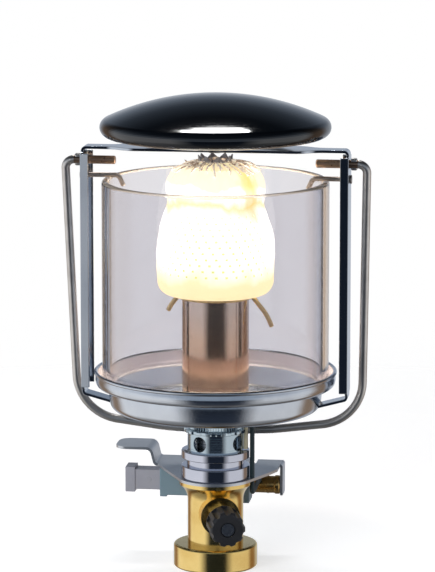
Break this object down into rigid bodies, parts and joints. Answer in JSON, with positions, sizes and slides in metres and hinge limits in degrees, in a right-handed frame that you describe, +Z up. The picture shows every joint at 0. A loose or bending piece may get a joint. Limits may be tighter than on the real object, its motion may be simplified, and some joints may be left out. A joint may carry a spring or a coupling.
{
  "type": "gas lantern",
  "caption": "Camping gas lantern: enamel lid, clear glass globe round a glowing mantle, pressed tray, swinging wire bail, push igniter and control knob on a brass canister valve.",
  "frame": {"origin": "centre of the valve body's foot, on the surface it stands on", "axes": "+Z up along the burner, -Y to the front where the control knob is, +X to the right; the igniter's button is at the left"},
  "size_m": [0.0916, 0.0716, 0.1414],
  "materials": {
    "black_enamel": "gloss black enamel",
    "chrome_plate": "bright chrome",
    "satin_steel": "satin wire",
    "clear_glass": "clear",
    "heat_steel": "heat-tinted polished steel",
    "charred_steel": "charred",
    "mantle_ash": "glowing woven ash",
    "zinc_plate": "satin zinc",
    "igniter_plastic": "moulded",
    "button_plastic": "moulded",
    "brass": "polished",
    "white_ceramic": "fired",
    "black_rubber": "matte",
    "knob_plastic": "moulded",
    "spring_steel": "bright"
  },
  "bodies": {
    "lantern": {"lid": "black_enamel", "lid_heat_shield": "black_enamel", "lid_stud": "spring_steel", "lid_nut": "spring_steel", "frame": "chrome_plate", "glass_clip_left": "satin_steel", "glass_clip_right": "satin_steel", "glass_globe": "clear_glass", "tray": "chrome_plate", "burner_tube": "heat_steel", "burner_seat": "brass", "burner_cap": "heat_steel", "gauze": "heat_steel", "mantle_support": "charred_steel", "mantle": "mantle_ash", "mantle_clip": "heat_steel", "air_tube": "chrome_plate", "lock_nut": "chrome_plate", "coupling": "chrome_plate", "jet": "brass", "gas_filter": "brass", "bracket": "zinc_plate", "igniter_housing": "igniter_plastic", "button_spring": "spring_steel", "igniter_hammer": "spring_steel", "igniter_crystal": "white_ceramic", "igniter_barrel": "brass", "ignition_lead": "black_rubber", "electrode_sleeve": "white_ceramic", "electrode_wire": "spring_steel", "valve_body": "brass", "spindle_seal": "black_rubber", "gland_nut": "brass", "valve_opener": "brass", "canister_seal": "black_rubber"},
    "bail": {"bail": "satin_steel"},
    "button": {"igniter_button": "button_plastic"},
    "knob": {"control_knob": "knob_plastic", "control_spindle": "brass", "knob_screw": "spring_steel"}
  },
  "joints": [
    {"name": "bail_swing", "type": "hinge", "parent": "lantern", "child": "bail", "pos_m": [0, 0, 0.1215], "axis": [1, 0, 0], "range_deg": [0, 344]},
    {"name": "button_push", "type": "slide", "parent": "lantern", "child": "button", "axis": [1, 0, 0], "range_m": [0, 0.0035], "stiffness_N_per_m": 1500, "springref_m": -0.001, "deforming": ["button_spring"]},
    {"name": "knob_turn", "type": "hinge", "parent": "lantern", "child": "knob", "pos_m": [0, 0, 0.0172], "axis": [0.2588, -0.9659, 0], "range_deg": [0, 540]}
  ]
}
